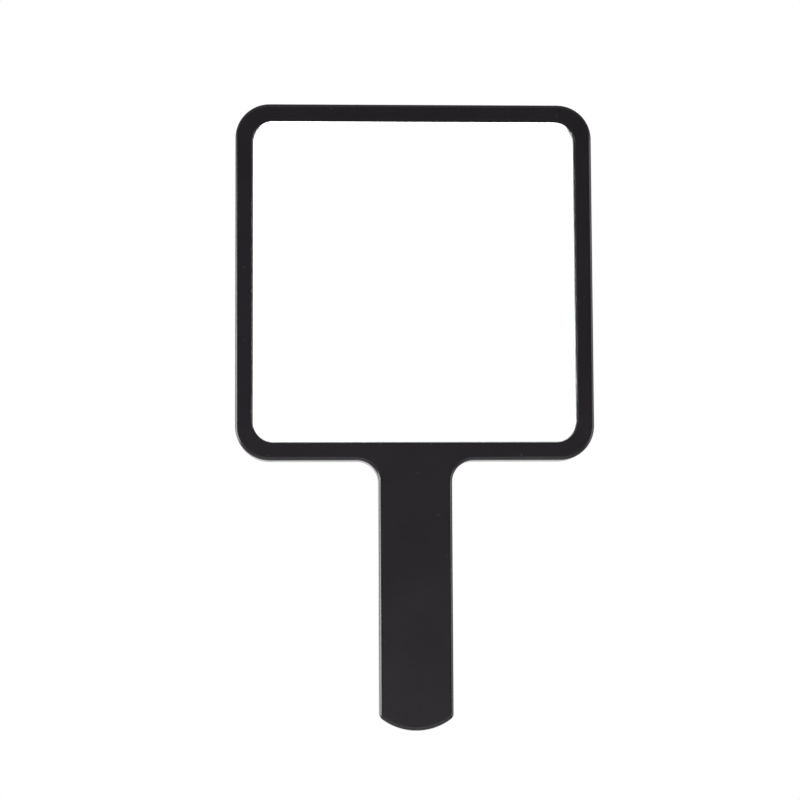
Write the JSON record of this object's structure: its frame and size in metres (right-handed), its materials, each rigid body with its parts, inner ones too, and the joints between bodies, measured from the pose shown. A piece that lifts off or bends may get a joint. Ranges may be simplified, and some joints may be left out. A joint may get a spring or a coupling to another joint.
{
  "type": "hand mirror",
  "caption": "Small square-headed hand mirror: a silvered pane set almost level in a black moulded frame, a flat round-ended handle, and a rear cover that clips in.",
  "frame": {"origin": "middle of the grip: centre of the handle's length, width and thickness", "axes": "+Z along the handle towards the head, -Y out of the mirror face, +X to the right as seen from the front"},
  "size_m": [0.0916, 0.008, 0.16],
  "materials": {
    "black_abs": "satin moulded ABS, fine even texture",
    "clear_glass": "clear polished float glass, ground edge",
    "silver": "bright silver layer with backing paint behind it",
    "white_foam": "closed-cell foam tape, matt"
  },
  "bodies": {
    "root": {"front_frame": "black_abs", "rear_cover": "black_abs", "mirror_glass": "clear_glass", "silver_coating": "silver", "foam_strip_top": "white_foam", "foam_strip_bottom": "white_foam", "foam_strip_left": "white_foam", "foam_strip_right": "white_foam"}
  },
  "joints": []
}
